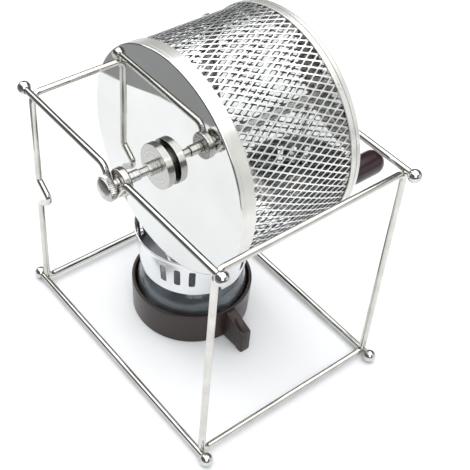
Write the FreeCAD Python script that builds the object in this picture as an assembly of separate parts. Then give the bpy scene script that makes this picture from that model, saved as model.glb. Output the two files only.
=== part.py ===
import FreeCAD, Part
import math
import os

# Stovetop coffee bean roaster, in millimetres: a bent-wire frame carries a mesh drum on two dipped
# rails, a crank turns the drum, and a spirit burner stands on the table under it.
# Built round the frame's own middle: X along the rails, Y along the drum's axle, Z up from the table.
# The exported solids are moved so that the origin is the middle of the burner's flat base.

V = FreeCAD.Vector

# Wire frame
wire_diameter = 4.0
ball_diameter = 8.0
ball_socket_depth = 3.0
ball_fit = 0.1
frame_length = 177.6
frame_depth = 128.6
frame_height = 148.0
hoop_inset = 6.1
hoop_bend_radius = 5.5
weld_depth = 0.3

# Kink in the front post of the left hoop
kink_middle_height = 79.5
kink_half_height = 9.5
kink_reach = 12.5
kink_bend_radius = 4.0

# Dips of the two top rails, which carry the axle
axle_drop = 7.0
neck_radius = 3.0
running_clearance = 0.05
dip_flank_angle = 60.0
dip_bend_radius = 5.0
cradle_half_length = 14.0
rail_side_clearance = 0.3

# Drum
sheet_thickness = 0.8
screen_radius = 64.2
screen_thickness = 0.8
lid_face_y = -33.0
drum_length = 81.0
lid_edge_depth = 2.5
lid_corner_radius = 1.0
lid_fit = 0.15
lid_inner_gap = 0.1
front_ring_width = 6.6
back_ring_width = 3.4
cap_edge_depth = 3.1
ring_gap = 0.1
axle_radius = 3.0
rod_end_radius = 2.0

# Clamp plates, sleeves and bushes on the axle's turned-down ends
boss_radius = 7.0
boss_length = 1.8
plate_radius = 13.0
plate_thickness = 4.3
plate_chamfer = 0.4
hub_radius = 3.8
hub_length = 5.0
neck_step_radius = 2.45
neck_step_length = 5.0
sleeve_gap = 0.4
sleeve_radius = 3.1
sleeve_chamfer = 0.3
back_boss_length = 2.2
back_plate_thickness = 3.5
bush_flange_radius = 7.9
bush_flange_length = 4.4
bush_flange_chamfer = 0.8
bush_end_gap = 0.15

# Knurled thumb knob
knob_radius = 7.3
knob_length = 3.6
knob_dome_length = 2.4
knob_face_radius = 4.2
knob_dome_bulge = 0.6
knob_thread = 3.0
knurl_count = 30
knurl_depth = 0.35

# Crank
crank_length = 51.3
crank_angle = -53.4
crank_hub_radius = 5.0
crank_hub_length = 1.85
arm_thickness = 3.0
arm_end_radius = 5.5
arm_middle_width = 8.0
crank_nut_radius = 5.5
crank_nut_length = 4.5
crank_nut_dome = 2.0
crank_nut_shoulder = 0.5
grip_pin_radius = 2.5
grip_flange_radius = 4.2
grip_flange_length = 1.2
grip_seat_gap = 0.3
grip_start_radius = 5.6
grip_radius = 7.8
grip_straight_start = 10.0
grip_swell = 0.4
grip_length = 34.7
grip_pin_end_gap = 1.0
grip_bore_depth = 24.0

# Spirit burner
burner_x = -17.0
burner_y = 4.5
cup_flare = 0.8
cup_height = 24.0
cup_wall = 2.4
cup_floor = 2.5
handle_length = 16.4
handle_width = 7.2
handle_angle = 1.5
handle_root_height = 22.5
handle_tip_height = 15.6
handle_shelf = 1.0
handle_foot_length = 5.0
handle_rise = 1.2
handle_corner_radius = 0.8
hollow_radius = 6.0
hollow_depth = 0.9
seat_gap = 0.2
bowl_radius = 34.6
bowl_side_gap = 0.4
bowl_corner_radius = 6.0
bowl_wall = 2.0
bowl_shoulder_height = 42.0
neck_outer_radius = 15.5
neck_height = 6.0
neck_collar_wall = 0.8
neck_collar_flange_radius = 20.0
holder_flange_radius = 16.8
holder_plate_thickness = 0.8
holder_skirt_length = 4.0
holder_skirt_clearance = 0.4
holder_tube_wall = 0.7
holder_tube_drop = 10.2
holder_tube_rise = 8.8
wick_radius = 3.5
wick_clearance = 0.08
wick_floor_gap = 1.3
wick_rise = 4.0

# Wind guard of the burner
guard_bottom_radius = 33.0
guard_top_radius = 36.6
guard_skirt_length = 3.8
guard_height = 29.1
guard_wall = 0.6
guard_floor_hole_gap = 0.5
guard_lip = 0.5
slot_count_per_group = 3
slot_groups = 4
slot_pitch_angle = 15.0
slot_first_angle = -69.0
slot_width = 4.0
slot_rise = 3.4
slot_height = 14.0
slot_corner_radius = 1.3

# Worked out from the sizes above
wire_radius = wire_diameter / 2
ball_radius = ball_diameter / 2
bottom_rail_z = ball_radius
top_rail_z = bottom_rail_z + frame_height
axle_height = top_rail_z - axle_drop
rail_y = frame_depth / 2
rail_end_x = frame_length / 2 - ball_radius + ball_socket_depth
hoop_x = frame_length / 2 - hoop_inset
corner_inset = (hoop_bend_radius + wire_diameter - weld_depth) / math.sqrt(2) - hoop_bend_radius
hoop_y = rail_y - corner_inset
hoop_bottom_z = bottom_rail_z + corner_inset
hoop_top_z = top_rail_z - corner_inset
groove_half = wire_radius + rail_side_clearance
lid_inner_y = lid_face_y + sheet_thickness
cap_face_y = lid_face_y + drum_length
cap_inner_y = cap_face_y - sheet_thickness
diagonal = math.sqrt(0.5)
axle = V(0, 0, axle_height)


def bent_wire(points, bends, closed=False):
    """A round wire along straight runs, each corner rounded to its bend radius."""
    count = len(points)
    runs = []
    for i, corner in enumerate(points):
        if not closed and i in (0, count - 1):
            runs.append((corner, None, corner))
            continue
        before = (points[i - 1] - corner).normalize()
        after = (points[(i + 1) % count] - corner).normalize()
        half = before.getAngle(after) / 2
        reach = bends[i] / math.tan(half)
        middle = (before + after).normalize()
        crown = corner + middle * (bends[i] / math.sin(half) - bends[i])
        runs.append((corner + before * reach, crown, corner + after * reach))
    edges = []
    for i, (start, crown, end) in enumerate(runs):
        if crown is not None:
            edges.append(Part.Arc(start, crown, end).toShape())
        if i + 1 < count:
            edges.append(Part.LineSegment(end, runs[i + 1][0]).toShape())
        elif closed:
            edges.append(Part.LineSegment(end, runs[0][0]).toShape())
    path = Part.Wire(edges)
    first = edges[0]
    start = first.Vertexes[0].Point
    heading = first.tangentAt(first.FirstParameter)
    section = Part.Wire([Part.Circle(start, heading, wire_radius).toShape()])
    return path.makePipeShell([section], True, False)


def tube_y(outer, inner, y0, y1, x=0.0, z=axle_height):
    """A rod along Y, or a tube where inner is above zero."""
    body = Part.makeCylinder(outer, y1 - y0, V(x, y0, z), V(0, 1, 0))
    if inner > 0:
        body = body.cut(Part.makeCylinder(inner, y1 - y0, V(x, y0, z), V(0, 1, 0)))
    return body


def turned(profile, centre, axis):
    """A closed outline of (radius, station) points turned round an axis.

    A point with three values (radius, station, bulge) starts an arc through the given middle point.
    """
    def place(radius, station):
        return centre + V(radius, 0, 0) + axis * station

    edges = []
    for i, point in enumerate(profile):
        following = profile[(i + 1) % len(profile)]
        start = place(*point[:2])
        end = place(*following[:2])
        if (start - end).Length == 0:
            continue
        if len(point) == 3:
            edges.append(Part.Arc(start, place(*point[2]), end).toShape())
        else:
            edges.append(Part.LineSegment(start, end).toShape())
    face = Part.Face(Part.Wire(edges))
    return face.revolve(centre, axis, 360)


def rounded_slot(width, height, radius, depth):
    """A prism with rounded corners, width along Y, height along Z, pushed along X."""
    box = Part.makeBox(depth, width, height, V(0, -width / 2, -height / 2))
    edges = [e for e in box.Edges if e.BoundBox.XLength > depth / 2]
    return box.makeFillet(radius, edges)


parts = {}

# Two closed hoops, one at each end, with the kink in the left one's front post
left_post = -hoop_x
kink_top = kink_middle_height + kink_half_height
kink_bottom = kink_middle_height - kink_half_height


def hoop_corners(x):
    return [V(x, hoop_y, hoop_bottom_z), V(x, hoop_y, hoop_top_z),
            V(x, -hoop_y, hoop_top_z), V(x, -hoop_y, hoop_bottom_z)]


left_points = hoop_corners(left_post)
left_points[3:3] = [V(left_post, -hoop_y, kink_top),
                    V(left_post + kink_reach, -hoop_y, kink_middle_height),
                    V(left_post, -hoop_y, kink_bottom)]
left_bends = [hoop_bend_radius] * 3 + [kink_bend_radius] * 3 + [hoop_bend_radius]
left_hoop = bent_wire(left_points, left_bends, closed=True)
right_hoop = bent_wire(hoop_corners(hoop_x), [hoop_bend_radius] * 4, closed=True)


# The four rails that join the hoops. Each top rail is one wire with a dip for the axle in its middle,
# held as two straight runs and the cradle between them.
def axle_cradle(y):
    flank = math.radians(dip_flank_angle)
    # The foot of the dip is an arc round the axle, so its corner lies below by the arc's own radius
    cradle_radius = neck_radius + running_clearance + wire_radius
    foot_z = axle_height - cradle_radius / math.cos(flank)
    head_x = (top_rail_z - foot_z) / math.tan(flank)
    points = [V(-cradle_half_length, y, top_rail_z), V(-head_x, y, top_rail_z), V(0, y, foot_z),
              V(head_x, y, top_rail_z), V(cradle_half_length, y, top_rail_z)]
    return bent_wire(points, [0, dip_bend_radius, cradle_radius, dip_bend_radius, 0])


def straight_run(y, z, start_x, end_x):
    return Part.makeCylinder(wire_radius, end_x - start_x, V(start_x, y, z), V(1, 0, 0))


def top_rail_runs(y):
    return Part.makeCompound([straight_run(y, top_rail_z, -rail_end_x, -cradle_half_length),
                              straight_run(y, top_rail_z, cradle_half_length, rail_end_x)])


rails = {
    "front_top_rail": top_rail_runs(-rail_y),
    "back_top_rail": top_rail_runs(rail_y),
    "front_axle_cradle": axle_cradle(-rail_y),
    "back_axle_cradle": axle_cradle(rail_y),
    "front_bottom_rail": straight_run(-rail_y, bottom_rail_z, -rail_end_x, rail_end_x),
    "back_bottom_rail": straight_run(rail_y, bottom_rail_z, -rail_end_x, rail_end_x),
}
for name, rail in rails.items():
    left_hoop = left_hoop.cut(rail)
    right_hoop = right_hoop.cut(rail)
    parts[name] = rail
parts["left_hoop"] = left_hoop
parts["right_hoop"] = right_hoop


# Eight balls, one on each rail end, drilled to take it
def end_balls(z):
    balls = []
    for side in (-1, 1):
        for y in (-rail_y, rail_y):
            ball = Part.makeSphere(ball_radius, V(side * frame_length / 2, y, z), V(0, side, 0))
            socket = Part.makeCylinder(wire_radius + ball_fit, ball_diameter, V(side * rail_end_x, y, z),
                                       V(-side, 0, 0))
            balls.append(ball.cut(socket))
    return Part.makeCompound(balls)


parts["top_rail_balls"] = end_balls(top_rail_z)
parts["foot_balls"] = end_balls(bottom_rail_z)

# The drum's mesh wall and the two plain bands welded round its ends
parts["drum_screen"] = tube_y(screen_radius, screen_radius - screen_thickness,
                              lid_inner_y + lid_inner_gap, cap_inner_y)
band_radius = screen_radius + sheet_thickness
front_ring_y = lid_face_y + lid_edge_depth + ring_gap
back_ring_y = cap_face_y - cap_edge_depth - ring_gap
parts["screen_front_ring"] = tube_y(band_radius, screen_radius, front_ring_y,
                                    front_ring_y + front_ring_width)
parts["screen_back_ring"] = tube_y(band_radius, screen_radius, back_ring_y - back_ring_width,
                                   back_ring_y)


# The mirror lid and the back cap, pressed discs with a turned-over edge
def pressed_disc(inner_radius, face_y, inward, edge_depth):
    outer = inner_radius + sheet_thickness
    corner = lid_corner_radius
    crown = corner * (1 - math.sqrt(0.5))
    profile = [(rod_end_radius, 0), (outer - corner, 0, (outer - crown, crown)), (outer, corner),
               (outer, edge_depth), (inner_radius, edge_depth), (inner_radius, sheet_thickness),
               (rod_end_radius, sheet_thickness)]
    return turned(profile, V(0, face_y, axle_height), V(0, inward, 0))


parts["front_lid"] = pressed_disc(screen_radius + lid_fit, lid_face_y, 1, lid_edge_depth)
parts["back_cap"] = pressed_disc(screen_radius, cap_face_y, -1, cap_edge_depth)

# The axle, one rod with turned-down ends that pass through the lid, the cap and all that they carry
bush_outer_y = rail_y + groove_half
outer_y = bush_outer_y + bush_end_gap
arm_y = outer_y + crank_hub_length
nut_y = arm_y + arm_thickness
nut_thread = crank_nut_length - crank_nut_dome
rod_front = -(outer_y + knob_thread)
rod_profile = [(0, rod_front), (rod_end_radius, rod_front), (rod_end_radius, lid_inner_y),
               (axle_radius, lid_inner_y), (axle_radius, cap_inner_y), (rod_end_radius, cap_inner_y),
               (rod_end_radius, nut_y + nut_thread), (0, nut_y + nut_thread)]
parts["drum_axle"] = turned(rod_profile, axle, V(0, 1, 0))


# A clamp plate screwed against each end of the drum, with its boss, and the front one with a stepped hub
def clamp(face_y, outward, boss, plate, steps):
    plate_end = boss + plate
    profile = [(rod_end_radius, 0), (boss_radius, 0), (boss_radius, boss),
               (plate_radius - plate_chamfer, boss), (plate_radius, boss + plate_chamfer),
               (plate_radius, plate_end - plate_chamfer),
               (plate_radius - plate_chamfer, plate_end)]
    station = plate_end
    for radius, length in steps:
        profile += [(radius, station), (radius, station + length)]
        station += length
    profile.append((rod_end_radius, station))
    return turned(profile, V(0, face_y, axle_height), V(0, outward, 0))


# A sleeve pressed onto the rod, which keeps the bush in its place
def sleeve(start, outward):
    end = rail_y - groove_half - bush_flange_length - bush_end_gap
    length = end - start
    outer = sleeve_radius
    profile = [(rod_end_radius, 0), (outer - sleeve_chamfer, 0), (outer, sleeve_chamfer),
               (outer, length - sleeve_chamfer), (outer - sleeve_chamfer, length), (rod_end_radius, length)]
    return turned(profile, V(0, outward * start, axle_height), V(0, outward, 0))


front_clamp_length = boss_length + plate_thickness + hub_length + neck_step_length
parts["front_clamp"] = clamp(lid_face_y, -1, boss_length, plate_thickness,
                             [(hub_radius, hub_length), (neck_step_radius, neck_step_length)])
parts["back_clamp"] = clamp(cap_face_y, 1, back_boss_length, back_plate_thickness, [])
parts["front_sleeve"] = sleeve(front_clamp_length + sleeve_gap - lid_face_y, -1)
parts["back_sleeve"] = sleeve(cap_face_y + back_boss_length + back_plate_thickness, 1)


# A flanged bush that turns on each end of the rod, whose neck lies in the rail's dip
def bush(outward):
    flange = bush_flange_radius
    chamfer = bush_flange_chamfer
    length = bush_flange_length + 2 * groove_half
    bore = rod_end_radius + running_clearance
    profile = [(bore, 0), (flange - chamfer, 0), (flange, chamfer), (flange, bush_flange_length - chamfer),
               (flange - chamfer, bush_flange_length), (neck_radius, bush_flange_length),
               (neck_radius, length), (bore, length)]
    start_y = outward * (bush_outer_y - length)
    return turned(profile, V(0, start_y, axle_height), V(0, outward, 0))


parts["front_bush"] = bush(-1)
parts["back_bush"] = bush(1)

# The knurled knob screwed onto the rod's front end
knob_start = V(0, -outer_y, axle_height)
knob_bore = rod_end_radius + running_clearance
bore_depth = knob_thread + rail_side_clearance
knob_dome_z = knob_length + knob_dome_length
dome_crown = ((knob_radius + knob_face_radius) / 2 + knob_dome_bulge, knob_length + knob_dome_length / 2)
knob_profile = [(knob_bore, 0), (knob_radius, 0), (knob_radius, knob_length, dome_crown),
                (knob_face_radius, knob_dome_z), (0, knob_dome_z), (0, bore_depth), (knob_bore, bore_depth)]
knob = turned(knob_profile, knob_start, V(0, -1, 0))
groove = Part.makeCylinder(knurl_depth, knob_length, knob_start + V(knob_radius, 0, 0), V(0, -1, 0))
grooves = [groove.rotated(knob_start, V(0, 1, 0), i * 360 / knurl_count) for i in range(knurl_count)]
parts["knurled_knob"] = knob.cut(grooves)

# The crank arm with its hub, the nut that holds it, the grip's pin and the grip
turn = math.radians(crank_angle)
grip_x = crank_length * math.cos(turn)
grip_z = axle_height + crank_length * math.sin(turn)
arm = tube_y(crank_hub_radius, 0, outer_y, nut_y)
arm = arm.fuse(tube_y(arm_end_radius, 0, arm_y, nut_y))
arm = arm.fuse(tube_y(arm_end_radius, 0, arm_y, nut_y, crank_length))
arm = arm.fuse(Part.makeBox(crank_length, arm_thickness, arm_middle_width,
                            V(0, arm_y, axle_height - arm_middle_width / 2)))
arm = arm.cut(tube_y(rod_end_radius, 0, outer_y, nut_y))
arm = arm.cut(tube_y(grip_pin_radius, 0, arm_y, nut_y, crank_length))
arm.rotate(axle, V(0, 1, 0), -crank_angle)
parts["crank_arm"] = arm.removeSplitter()

nut_corner = V(crank_nut_radius, nut_y, axle_height)
nut_centre = V(0, nut_y, axle_height)
nut_corners = [nut_centre + Part.Vertex(nut_corner - nut_centre).rotated(V(), V(0, 1, 0), 60 * i).Point
               for i in range(7)]
nut_body = Part.Face(Part.makePolygon(nut_corners)).extrude(V(0, nut_thread, 0))
dome_base = crank_nut_radius * math.cos(math.radians(30)) - crank_nut_shoulder
dome_profile = [(0, 0), (dome_base, 0, (dome_base * diagonal, crank_nut_dome * diagonal)),
                (0, crank_nut_dome)]
nut_dome = turned(dome_profile, V(0, nut_y + nut_thread, axle_height), V(0, 1, 0))
nut = nut_body.fuse(nut_dome).removeSplitter()
parts["crank_nut"] = nut.cut(tube_y(rod_end_radius, 0, nut_y, nut_y + nut_thread))

grip_start_y = nut_y + grip_flange_length + grip_seat_gap
pin = tube_y(grip_pin_radius, 0, arm_y, grip_start_y + grip_bore_depth - grip_pin_end_gap, grip_x, grip_z)
pin_flange = tube_y(grip_flange_radius, 0, nut_y, nut_y + grip_flange_length, grip_x, grip_z)
parts["grip_pin"] = pin.fuse(pin_flange).removeSplitter()
grip_bore = grip_pin_radius + running_clearance
dome_start = grip_length - grip_radius
swell = ((grip_start_radius + grip_radius) / 2 + grip_swell, grip_straight_start / 2)
grip_profile = [(grip_bore, 0), (grip_start_radius, 0, swell), (grip_radius, grip_straight_start),
                (grip_radius, dome_start, (grip_radius * diagonal, dome_start + grip_radius * diagonal)),
                (0, grip_length), (0, grip_bore_depth), (grip_bore, grip_bore_depth)]
parts["crank_grip"] = turned(grip_profile, V(grip_x, grip_start_y, grip_z), V(0, 1, 0))

# The burner's plastic cup with its tab handle; its inside is the bowl's outside plus the side gap
base = V(burner_x, burner_y, 0)
up = V(0, 0, 1)
cup_base_radius = bowl_radius + bowl_side_gap + cup_wall
cup_rim_radius = cup_base_radius + cup_flare
handle_tip = cup_rim_radius + handle_length
cup_profile = [(0, 0), (cup_base_radius, 0), (cup_rim_radius, cup_height),
               (cup_rim_radius - cup_wall, cup_height), (cup_base_radius - cup_wall, cup_floor),
               (0, cup_floor)]
cup = turned(cup_profile, base, up)
handle_root = cup_base_radius - cup_wall
handle_side = -handle_width / 2
slope_start = cup_rim_radius + handle_shelf
foot_start = handle_tip - handle_foot_length
side_outline = [V(handle_root, handle_side, handle_rise), V(foot_start, handle_side, handle_rise),
                V(foot_start, handle_side, 0), V(handle_tip, handle_side, 0),
                V(handle_tip, handle_side, handle_tip_height),
                V(slope_start, handle_side, handle_root_height),
                V(handle_root, handle_side, handle_root_height)]
handle = Part.Face(Part.makePolygon(side_outline + side_outline[:1])).extrude(V(0, handle_width, 0))
upright = [e for e in handle.Edges if e.BoundBox.ZLength > handle_rise and e.BoundBox.XMin > foot_start
           and e.BoundBox.XLength < handle_corner_radius]
handle = handle.makeFillet(handle_corner_radius, upright)
slope = V(handle_tip - slope_start, 0, handle_tip_height - handle_root_height)
hollow_centre = V((handle_tip + slope_start) / 2, 0, (handle_tip_height + handle_root_height) / 2)
hollow_axis = V(-slope.z, 0, slope.x).normalize()
hollow = Part.makeSphere(hollow_radius, hollow_centre + hollow_axis * (hollow_radius - hollow_depth))
handle = handle.cut(hollow)
handle.rotate(V(), V(0, 0, 1), handle_angle)
handle.translate(base)
inside = turned([(0, cup_floor), (cup_base_radius - cup_wall, cup_floor),
                 (cup_rim_radius - cup_wall, cup_height), (0, cup_height)], base, up)
parts["burner_cup"] = cup.fuse(handle.cut(inside)).removeSplitter()

# The glass spirit bowl, standing in the cup
bowl_base = cup_floor + seat_gap
neck_top = bowl_shoulder_height + neck_height
shoulder_radius = bowl_radius - neck_outer_radius
shoulder_start = bowl_shoulder_height - shoulder_radius
shoulder_inner = shoulder_radius - bowl_wall
outer_crown = (neck_outer_radius + shoulder_radius * diagonal, shoulder_start + shoulder_radius * diagonal)
under_crown = (neck_outer_radius + shoulder_inner * diagonal, shoulder_start + shoulder_inner * diagonal)
corner_crown = bowl_corner_radius * (1 - diagonal)
inner_corner = bowl_corner_radius - bowl_wall
inner_crown = inner_corner * (1 - diagonal)
bowl_inner = bowl_radius - bowl_wall
bowl_floor = bowl_base + bowl_wall
bowl_profile = [
    (0, bowl_base),
    (bowl_radius - bowl_corner_radius, bowl_base, (bowl_radius - corner_crown, bowl_base + corner_crown)),
    (bowl_radius, bowl_base + bowl_corner_radius),
    (bowl_radius, shoulder_start, outer_crown),
    (neck_outer_radius, bowl_shoulder_height),
    (neck_outer_radius, neck_top),
    (neck_outer_radius - bowl_wall, neck_top),
    (neck_outer_radius - bowl_wall, bowl_shoulder_height - bowl_wall),
    (neck_outer_radius, bowl_shoulder_height - bowl_wall, under_crown),
    (bowl_inner, shoulder_start),
    (bowl_inner, bowl_floor + inner_corner, (bowl_inner - inner_crown, bowl_floor + inner_crown)),
    (bowl_inner - inner_corner, bowl_floor),
    (0, bowl_floor),
]
parts["glass_bowl"] = turned(bowl_profile, base, up)

# The metal collar round the bowl's neck, with a flange that the wind guard rests on
collar_outer = neck_outer_radius + neck_collar_wall
collar_profile = [(neck_outer_radius, bowl_shoulder_height),
                  (neck_collar_flange_radius, bowl_shoulder_height),
                  (neck_collar_flange_radius, bowl_shoulder_height + neck_collar_wall),
                  (collar_outer, bowl_shoulder_height + neck_collar_wall), (collar_outer, neck_top),
                  (neck_outer_radius, neck_top)]
parts["bowl_collar"] = turned(collar_profile, base, up)

# The wick holder, a plate on the neck with the wick's tube through it, and the wick
plate_z = neck_top + seat_gap
holder_tube_bottom = plate_z - holder_tube_drop
holder_tube_top = plate_z + holder_tube_rise
skirt_outer = neck_outer_radius - bowl_wall - holder_skirt_clearance
tube_inner = wick_radius + wick_clearance
tube_outer = tube_inner + holder_tube_wall
holder_profile = [(tube_inner, holder_tube_bottom), (tube_outer, holder_tube_bottom), (tube_outer, plate_z),
                  (skirt_outer - holder_plate_thickness, plate_z),
                  (skirt_outer - holder_plate_thickness, plate_z - holder_skirt_length),
                  (skirt_outer, plate_z - holder_skirt_length), (skirt_outer, plate_z),
                  (holder_flange_radius, plate_z), (holder_flange_radius, plate_z + holder_plate_thickness),
                  (tube_outer, plate_z + holder_plate_thickness), (tube_outer, holder_tube_top),
                  (tube_inner, holder_tube_top)]
parts["wick_holder"] = turned(holder_profile, base, up)
wick_bottom = bowl_floor + wick_floor_gap
wick_top = holder_tube_top + wick_rise
parts["wick"] = Part.makeCylinder(wick_radius, wick_top - wick_bottom, base + up * wick_bottom)

# The wind guard, a flared ring with a floor and groups of upright slots
floor_under = bowl_shoulder_height + neck_collar_wall + seat_gap
guard_bottom = floor_under - guard_skirt_length
guard_top = guard_bottom + guard_height
flare = (guard_top_radius - guard_bottom_radius) / guard_height
floor_top = floor_under + guard_wall
slot_bottom = floor_top + slot_rise
floor_hole = holder_flange_radius + guard_floor_hole_gap


def guard_radius(z):
    return guard_bottom_radius + flare * (z - guard_bottom)


guard_profile = [(guard_bottom_radius, guard_bottom), (guard_top_radius, guard_top - guard_wall),
                 (guard_top_radius + guard_lip, guard_top - guard_wall),
                 (guard_top_radius + guard_lip, guard_top),
                 (guard_top_radius - guard_wall, guard_top),
                 (guard_radius(floor_top) - guard_wall, floor_top), (floor_hole, floor_top),
                 (floor_hole, floor_under), (guard_radius(floor_under) - guard_wall, floor_under),
                 (guard_bottom_radius - guard_wall, guard_bottom)]
guard = turned(guard_profile, base, up)
slot = rounded_slot(slot_width, slot_height, slot_corner_radius, guard_top_radius)
slot.translate(base + V(guard_bottom_radius / 2, 0, slot_bottom + slot_height / 2))
cutters = []
for group in range(slot_groups):
    for place in range(slot_count_per_group):
        angle = slot_first_angle + group * 360 / slot_groups + place * slot_pitch_angle
        cutters.append(slot.rotated(base, up, angle))
parts["wind_guard"] = guard.cut(cutters)

os.makedirs("parts", exist_ok=True)
for name, shape in parts.items():
    moved = shape.copy()
    moved.translate(V(-burner_x, -burner_y, 0))
    moved.exportStep("parts/" + name + ".step")
    print(name, len(moved.Solids), round(moved.Volume, 1), moved.isValid())
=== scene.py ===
import math

import bmesh
import bpy
from mathutils import Matrix, Vector, noise


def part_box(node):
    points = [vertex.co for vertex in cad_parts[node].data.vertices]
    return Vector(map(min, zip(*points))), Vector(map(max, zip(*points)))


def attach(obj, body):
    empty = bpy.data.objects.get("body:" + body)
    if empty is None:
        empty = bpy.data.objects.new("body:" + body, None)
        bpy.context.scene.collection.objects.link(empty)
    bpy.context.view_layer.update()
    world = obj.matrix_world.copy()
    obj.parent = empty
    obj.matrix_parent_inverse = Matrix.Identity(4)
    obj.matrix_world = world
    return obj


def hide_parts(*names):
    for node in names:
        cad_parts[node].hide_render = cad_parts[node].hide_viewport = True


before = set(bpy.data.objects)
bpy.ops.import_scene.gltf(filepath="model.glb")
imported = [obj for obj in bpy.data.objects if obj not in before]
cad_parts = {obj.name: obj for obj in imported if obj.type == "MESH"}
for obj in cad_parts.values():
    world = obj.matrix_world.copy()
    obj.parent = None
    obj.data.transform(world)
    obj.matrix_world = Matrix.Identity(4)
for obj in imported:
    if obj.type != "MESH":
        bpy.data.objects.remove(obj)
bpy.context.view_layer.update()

# Camera. It stands above the front right of the object and looks down at about 44 degrees, with the
# slight turn that the photo has, and its lens takes in the whole stand.
mm = 0.001
photo_pixels = 470
sensor_width = 36.0
view_azimuth = math.radians(47.398)
view_elevation = math.radians(43.92)
view_roll = math.radians(5.531)
focal_pixels = 1015.6
camera_distance = 649.9 * mm
aim_right = 21.6 * mm
aim_up = 49.9 * mm
stand_middle = (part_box("foot_balls")[0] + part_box("foot_balls")[1]) / 2

back = Vector((math.sin(view_azimuth) * math.cos(view_elevation),
               -math.cos(view_azimuth) * math.cos(view_elevation),
               math.sin(view_elevation)))
level_right = Vector((math.cos(view_azimuth), math.sin(view_azimuth), 0))
level_up = back.cross(level_right)
right = level_right * math.cos(view_roll) + level_up * math.sin(view_roll)
up = level_up * math.cos(view_roll) - level_right * math.sin(view_roll)

camera_data = bpy.data.cameras.new("camera")
camera_data.sensor_width = sensor_width
camera_data.lens = sensor_width * focal_pixels / photo_pixels
camera_data.clip_start = 10 * mm
camera = bpy.data.objects.new("camera", camera_data)
bpy.context.collection.objects.link(camera)
camera_place = stand_middle + right * aim_right + up * aim_up + back * camera_distance
camera.matrix_world = Matrix.Translation(camera_place) @ Matrix((right, up, back)).transposed().to_4x4()
scene = bpy.context.scene
scene.camera = camera
scene.view_settings.view_transform = "Standard"
scene.view_settings.look = "None"


# Table, backdrop and light. The object stands on a white sweep that ends in front of it, where the
# polished lid picks up the grey room beyond. One wide soft light hangs overhead, and three smaller
# ones stand at the sides.
def plain_material(name, colour, roughness=0.5, metallic=0.0):
    """A material whose even values sit on the Principled shader's own sockets."""
    made = bpy.data.materials.new(name)
    made.use_nodes = True
    shader = made.node_tree.nodes["Principled BSDF"]
    shader.inputs["Base Color"].default_value = (*colour, 1)
    shader.inputs["Roughness"].default_value = roughness
    shader.inputs["Metallic"].default_value = metallic
    return made


def shade(mesh, smooth_angle):
    """Turns the faces outward and shades them smooth, but for the sharp edges."""
    cleaner = bmesh.new()
    cleaner.from_mesh(mesh)
    bmesh.ops.recalc_face_normals(cleaner, faces=cleaner.faces)
    limit = math.radians(smooth_angle)
    for edge in cleaner.edges:
        edge.smooth = len(edge.link_faces) != 2 or edge.calc_face_angle(0) < limit
    for face in cleaner.faces:
        face.smooth = True
    cleaner.to_mesh(mesh)
    cleaner.free()


def new_piece(name, points, faces, finish, smooth_angle=40):
    """A mesh object from points and faces."""
    mesh = bpy.data.meshes.new(name)
    mesh.from_pydata([tuple(point) for point in points], [], faces)
    mesh.update()
    mesh.materials.append(finish)
    shade(mesh, smooth_angle)
    piece = bpy.data.objects.new(name, mesh)
    bpy.context.collection.objects.link(piece)
    return piece


sweep_white = plain_material("sweep_white", (0.93, 0.94, 0.95), 0.6)
room_grey = plain_material("room_grey", (0.25, 0.25, 0.255), 0.9)
sweep_reach = 2.4
sweep_front_edge = [(-sweep_reach, 0.45), (-0.2409, -0.1670), (-0.2164, -0.1740), (-0.1899, -0.1860),
                    (-0.1639, -0.1920), (-0.1337, -0.1965), (0.15, -0.30), (sweep_reach, -0.9)]
outline = sweep_front_edge + [(sweep_reach, sweep_reach), (-sweep_reach, sweep_reach)]
sweep = new_piece("sweep", [(x, y, 0) for x, y in outline], [tuple(range(len(outline)))], sweep_white)
room_drop = 0.02
room_reach = 6.0
room_corners = [(x * room_reach, y * room_reach, -room_drop)
                for x, y in ((-1, -1), (1, -1), (1, 1), (-1, 1))]
room_floor = new_piece("room_floor", room_corners, [(0, 1, 2, 3)], room_grey)
lights_aim = Vector((0, 0, 80 * mm))


def soft_light(name, place, size, power):
    """A rectangular lamp turned to the object, its lengths in metres and its power in watts."""
    data = bpy.data.lights.new(name, "AREA")
    data.shape = "RECTANGLE"
    data.size, data.size_y = size
    data.energy = power
    lamp = bpy.data.objects.new(name, data)
    bpy.context.collection.objects.link(lamp)
    lamp.location = place
    lamp.rotation_euler = (Vector(place) - lights_aim).to_track_quat("Z", "Y").to_euler()


soft_light("overhead_light", place=(0.0, 0.05, 1.4), size=(2.2, 2.0), power=35)
soft_light("camera_side_light", place=(1.1, -0.7, 1.0), size=(0.9, 0.9), power=5)
soft_light("left_light", place=(-1.2, -0.2, 0.9), size=(0.8, 0.8), power=4)
soft_light("right_wall_light", place=(1.5, 1.1, 0.7), size=(1.8, 1.1), power=4.5)
world = bpy.data.worlds.new("room")
world.use_nodes = True
room_air = world.node_tree.nodes["Background"]
room_air.inputs["Color"].default_value = (0.86, 0.93, 1.0, 1)
room_air.inputs["Strength"].default_value = 0.16
scene.world = world


# Stand. Six lengths of 4 mm stainless wire, bent and welded: two closed hoops, one with a kink in its
# front post, and four rails, the top two dipped in the middle to carry the axle.
def surface_group(name, inputs):
    """A shader node group with number inputs that gives roughness, shade and normal."""
    group = bpy.data.node_groups.new(name, "ShaderNodeTree")
    for label, value in inputs.items():
        socket = group.interface.new_socket(label, in_out="INPUT", socket_type="NodeSocketFloat")
        socket.default_value = value
    for label, kind in (("Roughness", "Float"), ("Shade", "Float"), ("Normal", "Vector")):
        group.interface.new_socket(label, in_out="OUTPUT", socket_type="NodeSocket" + kind)
    given = group.nodes.new("NodeGroupInput").outputs
    result = group.nodes.new("NodeGroupOutput").inputs
    return group, object_place(group), given, result


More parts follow.
